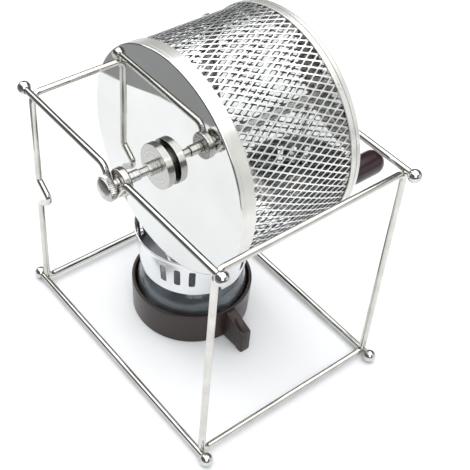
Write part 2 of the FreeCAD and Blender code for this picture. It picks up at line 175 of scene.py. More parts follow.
def object_place(tree):
    return tree.nodes.new("ShaderNodeTexCoord").outputs["Object"]


def fed_node(tree, kind, entries):
    """A node whose named inputs are given numbers, vectors, or sockets that are linked to them."""
    node = tree.nodes.new(kind)
    for label, entry in entries.items():
        if isinstance(entry, bpy.types.NodeSocket):
            tree.links.new(entry, node.inputs[label])
        else:
            node.inputs[label].default_value = entry
    return node


def range_node(tree, value, low, high, to_low, to_high):
    """Maps low..high to to_low..to_high."""
    return fed_node(tree, "ShaderNodeMapRange", {
        "Value": value, "From Min": low, "From Max": high, "To Min": to_low, "To Max": to_high,
    }).outputs["Result"]


def noise_node(tree, place, scale, detail):
    return fed_node(tree, "ShaderNodeTexNoise", {
        "Vector": place, "Scale": scale, "Detail": detail}).outputs["Fac"]


def stretched_place(tree, place, stretch, turn=(0, 0, 0)):
    return fed_node(tree, "ShaderNodeMapping", {
        "Vector": place, "Scale": stretch, "Rotation": turn}).outputs["Vector"]


def bump_node(tree, height, strength, distance):
    return fed_node(tree, "ShaderNodeBump", {
        "Height": height, "Strength": strength, "Distance": distance}).outputs["Normal"]


def dress(made, shade_factor, light, dark, **others):
    """Feeds the material's shader: its colour between two shades, and its other named inputs."""
    tree = made.node_tree
    shader = tree.nodes["Principled BSDF"]
    mix = tree.nodes.new("ShaderNodeMix")
    mix.data_type = "RGBA"
    mix.inputs["A"].default_value = (*light, 1)
    mix.inputs["B"].default_value = (*dark, 1)
    tree.links.new(shade_factor, mix.inputs["Factor"])
    tree.links.new(mix.outputs["Result"], shader.inputs["Base Color"])
    for label, socket in others.items():
        tree.links.new(socket, shader.inputs[label])


def make_polish_group():
    """Handling haze and fine scratches of polished metal."""
    group, place, given, result = surface_group("polish_haze", {
        "Haze scale": 60, "Clear roughness": 0.04, "Hazy roughness": 0.14, "Scratch depth": 0.02})
    haze_from, haze_to = 0.35, 0.7
    scratch_scale, scratch_stretch, scratch_turn = 260, (1, 9, 1), (0.6, 0.9, 0.3)
    haze = noise_node(group, place, given["Haze scale"], 4)
    scratch = noise_node(group, stretched_place(group, place, scratch_stretch, scratch_turn),
                         scratch_scale, 2)
    roughness = range_node(group, haze, haze_from, haze_to, given["Clear roughness"],
                           given["Hazy roughness"])
    group.links.new(roughness, result["Roughness"])
    group.links.new(range_node(group, haze, haze_from, haze_to, 0, 1), result["Shade"])
    group.links.new(bump_node(group, scratch, given["Scratch depth"], 0.1 * mm), result["Normal"])
    return group


polish_group = make_polish_group()


def grouped_metal(name, light, dark, roughness, metallic, group, values):
    """Metal whose shade, gloss and fine relief come from a node group with its own values."""
    made = plain_material(name, light, roughness, metallic)
    surface = made.node_tree.nodes.new("ShaderNodeGroup")
    surface.node_tree = group
    for label, value in values.items():
        surface.inputs[label].default_value = value
    dress(made, surface.outputs["Shade"], light, dark, Roughness=surface.outputs["Roughness"],
          Normal=surface.outputs["Normal"])
    return made


def polished_metal(name, clean, dull, scale=60, clear=0.04, hazy=0.14, scratches=0.02, metallic=1.0):
    """Polished steel whose colour and gloss change a little over the surface."""
    return grouped_metal(name, clean, dull, clear, metallic, polish_group, {
        "Haze scale": scale, "Clear roughness": clear, "Hazy roughness": hazy,
        "Scratch depth": scratches})


def bent_path(corners, bends, closed=False, step_angle=6):
    """Points along straight runs whose corners are rounded to the given radii."""
    path = []
    count = len(corners)
    for i, corner in enumerate(corners):
        if not closed and i in (0, count - 1):
            path.append(corner)
            continue
        before = (corners[i - 1] - corner).normalized()
        after = (corners[(i + 1) % count] - corner).normalized()
        half = before.angle(after) / 2
        middle = (before + after).normalized()
        centre = corner + middle * (bends[i] / math.sin(half))
        sweep_angle = math.pi - 2 * half
        steps = max(2, math.ceil(math.degrees(sweep_angle) / step_angle))
        normal = before.cross(after).normalized()
        start = corner + before * (bends[i] / math.tan(half)) - centre
        for k in range(steps + 1):
            path.append(centre + Matrix.Rotation(-sweep_angle * k / steps, 3, normal) @ start)
    return path


def ring_points(centre, side, other, radius, count):
    """Points round a centre, in the plane of two unit vectors."""
    angles = [2 * math.pi * k / count for k in range(count)]
    return [centre + (side * math.cos(angle) + other * math.sin(angle)) * radius for angle in angles]


def stitched(rows, count):
    """Faces that join rows of points into a skin, with one face over each end."""
    faces = [tuple(range(count)), tuple(range((rows - 1) * count, rows * count))]
    for i in range(rows - 1):
        for k in range(count):
            n = (k + 1) % count
            faces.append((i * count + k, i * count + n, (i + 1) * count + n, (i + 1) * count + k))
    return faces


def tube_along(path, radius, closed=False, sides=20):
    """Rings of points swept along a path, and the faces that join them."""
    count = len(path)
    tangents = []
    for i in range(count):
        before = path[i - 1] if (closed or i > 0) else path[i]
        after = path[(i + 1) % count] if (closed or i < count - 1) else path[i]
        tangents.append((after - before).normalized())
    side = tangents[0].orthogonal().normalized()
    rings = []
    for here, tangent in zip(path, tangents):
        side = (side - tangent * side.dot(tangent)).normalized()
        rings += ring_points(here, side, tangent.cross(side), radius, sides)
    if not closed:
        return rings, stitched(count, sides)
    last = rings[-sides] - path[-1]
    ends = [(rings[k] - path[0]).angle(last) for k in range(sides)]
    offset = ends.index(min(ends))
    faces = []
    for i in range(count):
        low, high = i * sides, (i + 1) % count * sides
        shift = offset if i == count - 1 else 0
        for k in range(sides):
            n = (k + 1) % sides
            faces.append((low + k, low + n, high + (n + shift) % sides, high + (k + shift) % sides))
    return rings, faces


wire_steel = polished_metal("wire_steel", (0.66, 0.645, 0.61), (0.54, 0.52, 0.48), scale=90,
                            clear=0.06, hazy=0.14, scratches=0.04)
rail_low, rail_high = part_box("front_bottom_rail")
wire_radius = (rail_high.z - rail_low.z) / 2
hoop_bend = 5.5 * mm
kink_bend = 4.0 * mm
kink_half_height = 9.5 * mm
kink_middle_height = 79.5 * mm
kink_reach = 12.5 * mm
dip_bend = 5.0 * mm
dip_slope = math.radians(60)
neck_clearance = 0.05 * mm
neck_radius = 3.0 * mm


def wire_piece(name, corners, bends, closed=False, cradle=()):
    points, faces = tube_along(bent_path(corners, bends, closed), wire_radius, closed)
    piece = new_piece(name + "_wire", points, faces, wire_steel, smooth_angle=60)
    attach(piece, "stand")
    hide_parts(name, *cradle)


def hoop_corners(name, x):
    low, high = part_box(name)
    low = low + Vector((0, wire_radius, wire_radius))
    high = high - Vector((0, wire_radius, wire_radius))
    return [Vector((x, high.y, low.z)), Vector((x, high.y, high.z)),
            Vector((x, low.y, high.z)), Vector((x, low.y, low.z))]


left_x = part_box("left_hoop")[0].x + wire_radius
corners = hoop_corners("left_hoop", left_x)
front_y = corners[3].y
corners[3:3] = [Vector((left_x, front_y, kink_middle_height + kink_half_height)),
                Vector((left_x + kink_reach, front_y, kink_middle_height)),
                Vector((left_x, front_y, kink_middle_height - kink_half_height))]
wire_piece("left_hoop", corners, [hoop_bend] * 3 + [kink_bend] * 3 + [hoop_bend], True)
right_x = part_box("right_hoop")[1].x - wire_radius
wire_piece("right_hoop", hoop_corners("right_hoop", right_x), [hoop_bend] * 4, True)

bush_low, bush_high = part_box("front_bush")
axle_x = (bush_low.x + bush_high.x) / 2
axle_z = (bush_low.z + bush_high.z) / 2
cradle_bend = neck_radius + neck_clearance + wire_radius
foot_z = axle_z - cradle_bend / math.cos(dip_slope)
for name, cradle in (("front_top_rail", "front_axle_cradle"), ("back_top_rail", "back_axle_cradle")):
    low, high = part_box(name)
    y = (low.y + high.y) / 2
    top_z = high.z - wire_radius
    head = (top_z - foot_z) / math.tan(dip_slope)
    wire_piece(name, [Vector((low.x, y, top_z)), Vector((axle_x - head, y, top_z)),
                      Vector((axle_x, y, foot_z)), Vector((axle_x + head, y, top_z)),
                      Vector((high.x, y, top_z))], [0, dip_bend, cradle_bend, dip_bend, 0],
               cradle=(cradle,))
for name in ("front_bottom_rail", "back_bottom_rail"):
    low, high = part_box(name)
    middle = (low + high) / 2
    wire_piece(name, [Vector((low.x, middle.y, middle.z)), Vector((high.x, middle.y, middle.z))], [0, 0])


# Balls. Eight 8 mm steel balls, drilled part way with a slight countersink and pushed onto the rails'
# ends. The lower four are the feet.
tiny = 1e-7


def turned_piece(name, profile, centre, axis, finish, segments=96, closed=True, smooth_angle=40):
    """An outline of (radius, station) points turned round an axis."""
    axis = Vector(axis).normalized()
    side = axis.orthogonal().normalized()
    other = axis.cross(side)
    points, index = [], []
    for radius, station in profile:
        middle = centre + axis * station
        first = len(points)
        if radius < tiny:
            index.append([first] * segments)
            points.append(middle)
        else:
            index.append(range(first, first + segments))
            points += ring_points(middle, side, other, radius, segments)
    faces = []
    rows = len(profile)
    for i in range(rows if closed else rows - 1):
        this, following = index[i], index[(i + 1) % rows]
        for k in range(segments):
            n = (k + 1) % segments
            corners = tuple(dict.fromkeys((this[k], this[n], following[n], following[k])))
            if len(corners) > 2:
                faces.append(corners)
    return new_piece(name, points, faces, finish, smooth_angle)


hold = 0.02 * mm
least_turn = math.radians(12)
most_reach = 0.45


def eased(profile, radius, steps=3):
    """The same outline with rounded corners, and a point beside each so that flat faces shade flat."""
    smooth = []
    count = len(profile)
    for i in range(count):
        here = Vector(profile[i])
        before = Vector(profile[i - 1]) - here
        after = Vector(profile[(i + 1) % count]) - here
        if min(here.x, before.length, after.length) < tiny or math.pi - before.angle(after) < least_turn:
            smooth.append(tuple(here))
            continue
        turn = math.pi - before.angle(after)
        reach = min(radius * math.tan(turn / 2), before.length * most_reach, after.length * most_reach)
        start = here + before.normalized() * reach
        end = here + after.normalized() * reach
        smooth.append(tuple(start + before.normalized() * hold))
        for k in range(steps + 1):
            t = k / steps
            smooth.append(tuple(start * (1 - t) ** 2 + here * 2 * t * (1 - t) + end * t ** 2))
        smooth.append(tuple(end + after.normalized() * hold))
    return smooth


ball_steel = polished_metal("ball_steel", (0.68, 0.67, 0.65), (0.58, 0.57, 0.54), scale=120, clear=0.04,
                            hazy=0.10)
ball_countersink = 0.35 * mm
ball_steps = 28
for node in ("top_rail_balls", "foot_balls"):
    low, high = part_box(node)
    radius = (high.z - low.z) / 2
    mouth = math.asin((wire_radius + ball_countersink) / radius)
    profile = [(wire_radius, -math.cos(mouth) * radius + ball_countersink)]
    for k in range(ball_steps + 1):
        angle = mouth + (math.pi - mouth) * k / ball_steps
        profile.append((max(0.0, math.sin(angle) * radius), -math.cos(angle) * radius))
    for x, outward, word in ((low.x + radius, -1, "left"), (high.x - radius, 1, "right")):
        for y, place in ((low.y + radius, "front"), (high.y - radius, "back")):
            ball = turned_piece(f"{node}_{place}_{word}", profile, Vector((x, y, (low.z + high.z) / 2)),
                                (outward, 0, 0), ball_steel, segments=48, closed=False)
            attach(ball, "stand")
            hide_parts(node)


# Drum wall. Expanded steel mesh rolled into a drum: long diamonds along the axle, each strand slightly
# tilted as the slitting press leaves it, welded under a plain band at each end. Its under faces and the
# walls of its holes carry a dark painted shade.
def node_span(name):
    """A node's low corner, its radius across X and its length along Y."""
    low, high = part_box(name)
    return low, (high.x - low.x) / 2, high.y - low.y


def round_axle(radius, angle, y):
    """A point given by its radius and angle about the axle and its place along it."""
    return axle_x + radius * math.cos(angle), y, axle_z + radius * math.sin(angle)


screen_low, screen_outer, screen_length = node_span("drum_screen")
screen_thickness = 0.8 * mm
diamonds_around = 88
diamond_length = 8.4 * mm
strand_width = 0.75 * mm
strand_thickness = 0.4 * mm
strand_tilt = 0.06 * mm
tilt_reach = 3
corner_pull = 0.93
screen_steel = polished_metal("mesh_steel", (0.92, 0.92, 0.91), (0.80, 0.80, 0.79), scale=160,
                              clear=0.30, hazy=0.45, scratches=0.10)
# Painted shade: a dark copy of the mesh steel that stands for the shade inside the drum and along the walls
# of the holes.
screen_inner_painted_shade = polished_metal("mesh_inner_painted_shade", (0.24, 0.238, 0.23), (0.14, 0.138, 0.13),
                                    scale=160, clear=0.30, hazy=0.45, scratches=0.10)


def expanded_screen():
    """One diamond cell, four rings of points, set all round the drum in staggered rows."""
    middle_radius = screen_outer - screen_thickness / 2
    half_width = math.pi * middle_radius / diamonds_around
    half_length = diamond_length / 2
    side_gap = 2 * half_width * half_length / math.hypot(half_width, half_length)
    hole_scale = (side_gap - strand_width) / side_gap
    rows = math.floor(screen_length / half_length) - 1
    first_y = screen_low.y + (screen_length - (rows - 1) * half_length) / 2
    side = [(0, 1), (1 / 3, 2 / 3), (2 / 3, 1 / 3)]
    rim = side + [(y, -x) for x, y in side] + [(-x, -y) for x, y in side] + [(-y, x) for x, y in side]
    edges = [(across, along, 0) for across, along in rim]
    for i, (across, along) in enumerate(rim):
        scale = hole_scale * (corner_pull if i % 3 == 0 else 1.0)
        edges.append((across * scale, along * scale, -strand_tilt * max(-1, min(1, tilt_reach * across))))
    cell = [(across * half_width, along * half_length, lift + layer * strand_thickness / 2)
            for layer in (1, -1) for across, along, lift in edges]
    hole, under, under_hole = len(rim), 2 * len(rim), 3 * len(rim)
    cell_faces = []
    for i in range(len(rim)):
        n = (i + 1) % len(rim)
        cell_faces += [(i, n, hole + n, hole + i), (under + n, under + i, under_hole + i, under_hole + n),
                       (hole + i, hole + n, under_hole + n, under_hole + i)]
    points, faces = [], []
    for row in range(rows):
        for place in range(diamonds_around):
            faces += [tuple(len(points) + i for i in face) for face in cell_faces]
            for across, along, lift in cell:
                angle = ((2 * place + row % 2) * half_width + across) / middle_radius
                points.append(round_axle(middle_radius + lift, angle, first_y + row * half_length + along))
    screen = new_piece("drum_mesh_wall", points, faces, screen_steel, smooth_angle=30)
    # The outer faces keep the bright steel; the under faces and the hole walls take the dark painted shade.
    screen.data.materials.append(screen_inner_painted_shade)
    for face in screen.data.polygons:
        face.material_index = face.index % 3 > 0
    welder = bmesh.new()
    welder.from_mesh(screen.data)
    bmesh.ops.remove_doubles(welder, verts=welder.verts, dist=0.01 * mm)
    welder.to_mesh(screen.data)
    welder.free()
    return screen


screen = expanded_screen()
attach(screen, "drum")
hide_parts("drum_screen")


# Drum ends. A pressed, mirror-polished lid in front, a pressed cap behind, and the plain bands that
# bind the mesh's cut edges beside them.
lid_steel = polished_metal("lid_mirror", (0.73, 0.74, 0.725), (0.64, 0.64, 0.62), scale=14, clear=0.015,
                           hazy=0.05, scratches=0.006)
band_steel = polished_metal("band_steel", (0.80, 0.79, 0.75), (0.70, 0.685, 0.64), scale=50, clear=0.26,
                            hazy=0.38, scratches=0.05, metallic=0.65)
sheet = 0.8 * mm
edge_ease = 1.0 * mm
rod_end_radius = 2.0 * mm
polished_up_to = 0.6
drum_segments = 256


def arc_points(centre, radius, start, end, steps):
    """Points on an arc of the (radius, station) plane, angles in degrees."""
    result = []
    for k in range(steps + 1):
        angle = math.radians(start + (end - start) * k / steps)
        result.append((centre[0] + radius * math.cos(angle), centre[1] + radius * math.sin(angle)))
    return result


def pressed_end(name, node, inward):
    """A pressed disc whose turned-over edge keeps a satin finish while its faces are polished."""
    low, radius, depth = node_span(node)
    face_y = low.y if inward > 0 else low.y + depth
    profile = [(rod_end_radius, 0), (radius - edge_ease - hold, 0)]
    profile += arc_points((radius - edge_ease, edge_ease), edge_ease, -90, 0, 6)
    profile += [(radius, edge_ease + hold), (radius, depth), (radius - sheet, depth)]
    profile += arc_points((radius - edge_ease, edge_ease), edge_ease - sheet, 0, -90, 3)
    profile += [(radius - edge_ease - hold, sheet), (rod_end_radius, sheet)]
    piece = turned_piece(name, profile, Vector((axle_x, face_y, axle_z)), (0, inward, 0), lid_steel,
                         drum_segments)
    piece.data.materials.append(band_steel)
    face_normal = Vector((0, -inward, 0))
    for face in piece.data.polygons:
        face.material_index = abs(face.normal.dot(face_normal)) < polished_up_to
    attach(piece, "drum")
    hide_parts(node)


pressed_end("front_lid_disc", "front_lid", 1)
pressed_end("back_cap_disc", "back_cap", -1)
band_ease = 0.35 * mm
for node in ("screen_front_ring", "screen_back_ring"):
    low, outer, width = node_span(node)
    profile = eased([(outer, 0), (outer, width), (outer - sheet, width), (outer - sheet, 0)], band_ease)
    band = turned_piece(node + "_band", profile, Vector((axle_x, low.y, axle_z)), (0, 1, 0), band_steel,
                        drum_segments)
    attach(band, "drum")
    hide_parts(node)


# Clamp plates, sleeves and bushes. Turned stainless parts on the axle's ends: a plate against the drum
# with a stepped hub and a shank, a plain sleeve, and a flanged bush whose neck runs in the rail's dip.
def math_node(tree, operation, first, second):
    node = fed_node(tree, "ShaderNodeMath", {0: first, 1: second})
    node.operation = operation
    return node.outputs["Value"]


def make_turning_group():
    """Fine rings that a lathe tool leaves round an axis along Y."""
    group, place, given, result = surface_group("turning_marks", {
        "Axis x": 0, "Axis z": 0, "Ring scale": 3000, "Low roughness": 0.15, "High roughness": 0.3,
        "Depth": 0.1})
    ring_from, ring_to = 0.3, 0.7
    apart = fed_node(group, "ShaderNodeSeparateXYZ", {"Vector": place}).outputs
    x = math_node(group, "SUBTRACT", apart["X"], given["Axis x"])
    z = math_node(group, "SUBTRACT", apart["Z"], given["Axis z"])
    squares = math_node(group, "ADD", math_node(group, "MULTIPLY", x, x),
                        math_node(group, "MULTIPLY", z, z))
    joined = fed_node(group, "ShaderNodeCombineXYZ", {
        "X": math_node(group, "SQRT", squares, 0), "Y": apart["Y"]}).outputs["Vector"]
    rings = noise_node(group, joined, given["Ring scale"], 3)
    rings.node.noise_dimensions = "2D"
    roughness = range_node(group, rings, ring_from, ring_to, given["Low roughness"],
                           given["High roughness"])
    group.links.new(roughness, result["Roughness"])
    group.links.new(range_node(group, rings, ring_from, ring_to, 0, 1), result["Shade"])
    group.links.new(bump_node(group, rings, given["Depth"], 0.05 * mm), result["Normal"])
    return group


turned_steel = grouped_metal("turned_steel", (0.62, 0.61, 0.59), (0.40, 0.395, 0.38), 0.16, 1.0,
                             make_turning_group(), {
                                 "Axis x": axle_x, "Axis z": axle_z, "Low roughness": 0.16,
                                 "High roughness": 0.3, "Depth": 0.25})
boss_radius = 7.0 * mm
front_boss, front_plate = 1.8 * mm, 4.3 * mm
front_hub_radius = 3.8 * mm
front_steps = [(front_hub_radius, 2.1 * mm), (3.2 * mm, 0.6 * mm), (front_hub_radius, 2.3 * mm),
               (2.45 * mm, 5.0 * mm)]
back_boss, back_plate = 2.2 * mm, 3.5 * mm
sleeve_radius = 3.1 * mm
clamp_ease = 0.2 * mm
bush_ease = 0.8 * mm


def turned_on_axle(name, node, outward, profile, ease, body, segments=128):
    """A piece turned round the axle, whose outline starts on the node's side towards the drum."""
    low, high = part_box(node)
    start = Vector((axle_x, high.y if outward < 0 else low.y, axle_z))
    piece = turned_piece(name, eased(profile, ease), start, (0, outward, 0), turned_steel, segments)
    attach(piece, body)
    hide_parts(node)


def clamp_profile(node, boss, plate, steps):
    plate_radius = node_span(node)[1]
    outline = [(rod_end_radius, 0), (boss_radius, 0), (boss_radius, boss), (plate_radius, boss),
               (plate_radius, boss + plate)]
    station = boss + plate
    for radius, length in steps:
        outline += [(radius, station), (radius, station + length)]
        station += length
    return outline + [(rod_end_radius, station)]


turned_on_axle("front_clamp_plate", "front_clamp", -1,
               clamp_profile("front_clamp", front_boss, front_plate, front_steps), clamp_ease, "drum")
turned_on_axle("back_clamp_plate", "back_clamp", 1,
               clamp_profile("back_clamp", back_boss, back_plate, []), clamp_ease, "drum")
for node, outward in (("front_sleeve", -1), ("back_sleeve", 1)):
    length = node_span(node)[2]
    turned_on_axle(node + "_tube", node, outward, [(rod_end_radius, 0), (sleeve_radius, 0),
                                                   (sleeve_radius, length), (rod_end_radius, length)],
                   clamp_ease, "drum", segments=64)
bush_bore = rod_end_radius + neck_clearance
bush_flange = 4.4 * mm
for node, outward in (("front_bush", -1), ("back_bush", 1)):
    flange_radius, length = node_span(node)[1:]
    turned_on_axle(node + "_turned", node, outward,
                   [(bush_bore, 0), (flange_radius, 0), (flange_radius, bush_flange),
                    (neck_radius, bush_flange), (neck_radius, length), (bush_bore, length)],
                   bush_ease, "bushes", segments=96)


# Axle. One steel rod, 6 mm thick inside the drum and turned down to 4 mm outside it, seen through the
# mesh and between the front hub and its sleeve.
low, rod_radius, rod_length = node_span("drum_axle")
inner_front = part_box("front_lid")[0].y + sheet - low.y
inner_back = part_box("back_cap")[1].y - sheet - low.y
rod_profile = [(0, 0), (rod_end_radius, 0), (rod_end_radius, inner_front), (rod_radius, inner_front),
               (rod_radius, inner_back), (rod_end_radius, inner_back), (rod_end_radius, rod_length),
               (0, rod_length)]
rod = turned_piece("axle_rod", eased(rod_profile, clamp_ease), Vector((axle_x, low.y, axle_z)), (0, 1, 0),
                   turned_steel, segments=64, closed=False)
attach(rod, "drum")
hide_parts("drum_axle")


# Thumb knob. A stainless nut with a knurled barrel and a domed face, screwed onto the rod's front end
# until it stops.
def dome_points(radius, length, steps=10):
    """The (radius, station) points of a low dome, from its rim to just before its middle."""
    angles = [math.radians(90 * k / steps) for k in range(steps)]
    return [(radius * math.cos(angle), length * math.sin(angle)) for angle in angles]


knurls = 40
points_per_knurl = 4
knurl_depth = 0.5 * mm
knob_barrel = 3.6 * mm
knob_chamfer = 0.5 * mm
knob_shoulder = 0.1 * mm
knob_mouth = 1.1 * mm
knob_dome_inset = 0.9 * mm
part_cut = 0.3
knob_bore_depth = 3.3 * mm
knob_middle = 0.05 * mm


def knurled_knob():
    """Rings of points from the bore to the dome; the third entry of a station is how deep it is cut."""
    low, outer, length = node_span("knurled_knob")
    dome_start = outer - knob_dome_inset
    edge = outer - knob_chamfer
    stations = [(bush_bore, knob_bore_depth, 0), (bush_bore, 0, 0), (outer - knob_mouth, 0, 0),
                (edge, knob_shoulder, part_cut), (outer, knob_chamfer, 1),
                (outer, knob_barrel - knob_chamfer, 1), (edge, knob_barrel, part_cut),
                (dome_start, knob_barrel + knob_shoulder, 0)]
    stations += [(radius, knob_barrel + station, 0)
                 for radius, station in dome_points(dome_start, length - knob_barrel)[1:]]
    stations.append((knob_middle, length, 0))
    segments = knurls * points_per_knurl
    points = []
    for radius, station, cut in stations:
        for k in range(segments):
            angle = 2 * math.pi * k / segments
            tooth = abs((k % points_per_knurl) * 2 / points_per_knurl - 1)
            points.append(round_axle(radius - cut * knurl_depth * tooth, angle, low.y + length - station))
    return new_piece("thumb_knob", points, stitched(len(stations), segments), turned_steel, smooth_angle=35)


knob = knurled_knob()
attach(knob, "knob")
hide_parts("knurled_knob")


# Crank. A flat steel bar with a hub, pushed onto the rod's back end and held by a cap nut; at its other
# end the flanged pin that carries the grip.
crank_steel = polished_metal("crank_steel", (0.74, 0.73, 0.71), (0.62, 0.61, 0.58), scale=70, clear=0.08,
                             hazy=0.2, scratches=0.06)


def flat_plate(name, outline, start_y, thickness, ease, finish):
    """A plate cut to an (x, z) outline, its thickness along Y, with eased edges."""
    count = len(outline)
    middle = Vector((sum(x for x, z in outline) / count, sum(z for x, z in outline) / count))
    inset = []
    for i, point in enumerate(outline):
        before = Vector(outline[i - 1]) - Vector(point)
        after = Vector(outline[(i + 1) % count]) - Vector(point)
        along = (after - before).normalized()
        inward = Vector((-along.y, along.x))
        if inward.dot(middle - Vector(point)) < 0:
            inward = -inward
        inset.append(inward)
    layers = []
    ease_steps = 3
    for k in range(ease_steps + 1):
        angle = math.radians(90 * k / ease_steps)
        layers.append((ease * (1 - math.sin(angle)), ease * (1 - math.cos(angle))))
    rings = [(inward, start_y + depth) for inward, depth in layers]
    rings += [(inward, start_y + thickness - depth) for inward, depth in layers[::-1]]
    points = []
    for inward, y in rings:
        for point, direction in zip(outline, inset):
            place = Vector(point) + direction * inward
            points.append((place.x, y, place.y))
    return new_piece(name, points, stitched(len(rings), count), finish, smooth_angle=28)


arm_thickness = 3.0 * mm
arm_ease = 0.45 * mm
arm_end_radius = 5.5 * mm
arm_half_width = 4.0 * mm
hub_radius = 5.0 * mm
arm_low, arm_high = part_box("crank_arm")
pin_low, pin_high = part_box("grip_pin")
hub_y = arm_low.y
arm_y = arm_high.y - arm_thickness
grip_x = (pin_low.x + pin_high.x) / 2
grip_z = (pin_low.z + pin_high.z) / 2
arm_run = Vector((grip_x - axle_x, grip_z - axle_z))
arm_turn = math.atan2(arm_run.y, arm_run.x)
waist = math.degrees(math.asin(arm_half_width / arm_end_radius))
arm_outline = arc_points((arm_run.length, 0), arm_end_radius, waist - 180, 180 - waist, 24)
arm_outline += arc_points((0, 0), arm_end_radius, waist, 360 - waist, 24)
arm_outline = [(axle_x + x * math.cos(arm_turn) - z * math.sin(arm_turn),
                axle_z + x * math.sin(arm_turn) + z * math.cos(arm_turn)) for x, z in arm_outline]
arm = flat_plate("crank_arm_bar", arm_outline, arm_y, arm_thickness, arm_ease, crank_steel)
hub = turned_piece("crank_hub", eased([(rod_end_radius, 0), (hub_radius, 0), (hub_radius, arm_y - hub_y),
                                       (rod_end_radius, arm_y - hub_y)], clamp_ease),
                   Vector((axle_x, hub_y, axle_z)), (0, 1, 0), crank_steel, segments=64)
for piece in (arm, hub):
    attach(piece, "drum")
    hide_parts("crank_arm")

nut_low, nut_across, nut_length = node_span("crank_nut")
nut_flats = 2.5 * mm
nut_outline = arc_points((axle_x, axle_z), nut_across, 0, 300, 5)
nut_ease = 0.35 * mm
nut_dome_inset = 0.5 * mm
nut = flat_plate("cap_nut_flats", nut_outline, nut_low.y, nut_flats, nut_ease, crank_steel)
dome_radius = nut_across * math.cos(math.radians(30)) - nut_dome_inset
dome_length = nut_length - nut_flats
dome = dome_points(dome_radius, dome_length) + [(0, dome_length)]
cap = turned_piece("cap_nut_dome", dome, Vector((axle_x, nut_low.y + nut_flats, axle_z)), (0, 1, 0),
                   crank_steel, segments=48, closed=False)
for piece in (nut, cap):
    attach(piece, "drum")
    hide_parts("crank_nut")

pin_radius = 2.5 * mm
pin_flange = 1.2 * mm
pin_head = arm_high.y - pin_low.y
pin_flange_radius, pin_length = node_span("grip_pin")[1:]
pin_profile = [(0, 0), (pin_radius, 0), (pin_radius, pin_head), (pin_flange_radius, pin_head),
               (pin_flange_radius, pin_head + pin_flange), (pin_radius, pin_head + pin_flange),
               (pin_radius, pin_length), (0, pin_length)]
pin = turned_piece("grip_pin_turned", eased(pin_profile, clamp_ease), Vector((grip_x, pin_low.y, grip_z)),
                   (0, 1, 0), crank_steel, segments=48, closed=False)
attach(pin, "drum")
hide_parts("grip_pin")


# Grip. Dark red-brown moulded plastic with a narrow mouth and a domed end, bored for its pin and free
# to turn on it.
def moulded_plastic(name, colour, deep, roughness, grain, grain_depth):
    """Dark moulded plastic with a slight grain and a slight change of shade."""
    made = plain_material(name, colour, roughness)
    tree = made.node_tree
    place = object_place(tree)
    cloud_scale, cloud_from, cloud_to = 35, 0.3, 0.7
    cloud = noise_node(tree, place, cloud_scale, 3)
    gloss = range_node(tree, cloud, cloud_from, cloud_to, roughness * 0.85, roughness * 1.2)
    fine = bump_node(tree, noise_node(tree, place, grain, 2), grain_depth, 0.1 * mm)
    dress(made, cloud, colour, deep, Roughness=gloss, Normal=fine)
    return made


grip_plastic = moulded_plastic("grip_plastic", (0.030, 0.010, 0.012), (0.018, 0.007, 0.009), 0.2, 900, 0.06)
low, grip_radius, grip_length = node_span("crank_grip")
grip_barrel = (11 * mm, 14 * mm)
pin_bore = 2.55 * mm
bore_depth = 24 * mm
bore_chamfer = 0.4 * mm
grip_neck = [(5.0, 0), (5.4, 0.2), (5.7, 0.8), (6.3, 2.4), (6.9, 4.4), (7.35, 6.6), (7.65, 8.8)]
grip_profile = [(0, bore_depth), (pin_bore, bore_depth), (pin_bore, bore_chamfer),
                (pin_bore + bore_chamfer, 0)]
grip_profile += [(radius * mm, station * mm) for radius, station in grip_neck]
grip_profile += [(grip_radius, station) for station in grip_barrel]
grip_profile += arc_points((0, grip_length - grip_radius), grip_radius, 0, 90, 20)[:-1]
grip_profile.append((0, grip_length))
grip = turned_piece("grip_handle", grip_profile, Vector((grip_x, low.y, grip_z)), (0, 1, 0), grip_plastic,
                    segments=96, closed=False)
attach(grip, "grip")
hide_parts("crank_grip")


# Burner cup. Dark brown moulded plastic, slightly tapered, with a rounded rim, and a tab handle with a
# thumb hollow moulded onto its wall.
cup_plastic = moulded_plastic("cup_plastic", (0.032, 0.017, 0.013), (0.021, 0.011, 0.009), 0.3, 700, 0.10)
cup_low, cup_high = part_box("burner_cup")
cup_rim_radius = (cup_high.y - cup_low.y) / 2
burner = Vector((cup_low.x + cup_rim_radius, (cup_low.y + cup_high.y) / 2, 0))
cup_height = cup_high.z
cup_base_radius = cup_rim_radius - 0.8 * mm
cup_wall = 2.4 * mm
cup_floor = 2.5 * mm
cup_ease = 1.1 * mm
base_hollow = 0.6 * mm
foot_ring = 4.3 * mm
foot_ring_slope = 0.3 * mm
cup_profile = [(0, base_hollow), (cup_base_radius - foot_ring + foot_ring_slope, base_hollow),
               (cup_base_radius - foot_ring, 0), (cup_base_radius, 0), (cup_rim_radius, cup_height),
               (cup_rim_radius - cup_wall, cup_height), (cup_base_radius - cup_wall, cup_floor),
               (0, cup_floor)]
cup = turned_piece("burner_cup_shell", eased(cup_profile, cup_ease, 5), burner, (0, 0, 1), cup_plastic,
                   segments=192, closed=False)

handle_tip = cup_rim_radius + 16.4 * mm
handle_half_width = 3.6 * mm
handle_angle = math.radians(1.5)
handle_root = cup_base_radius - cup_wall / 2
handle_root_top = 22.5 * mm
handle_tip_top = 15.6 * mm
slope_start = cup_rim_radius + 1 * mm
foot_start = handle_tip - 5 * mm
foot_step = 0.3 * mm
handle_rise = 1.2 * mm
tip_round = 0.8 * mm
edge_round = 0.5 * mm
hollow_depth = 0.9 * mm
hollow_middle = slope_start + 9.5 * mm
hollow_half_length = 5.2 * mm
hollow_half_width = 2.8 * mm
across_steps = 14


def round_burner(out, aside, z, angle):
    """A point given by its distance out from the burner's middle and aside, turned about it."""
    return (burner.x + out * math.cos(angle) - aside * math.sin(angle),
            burner.y + out * math.sin(angle) + aside * math.cos(angle), z)


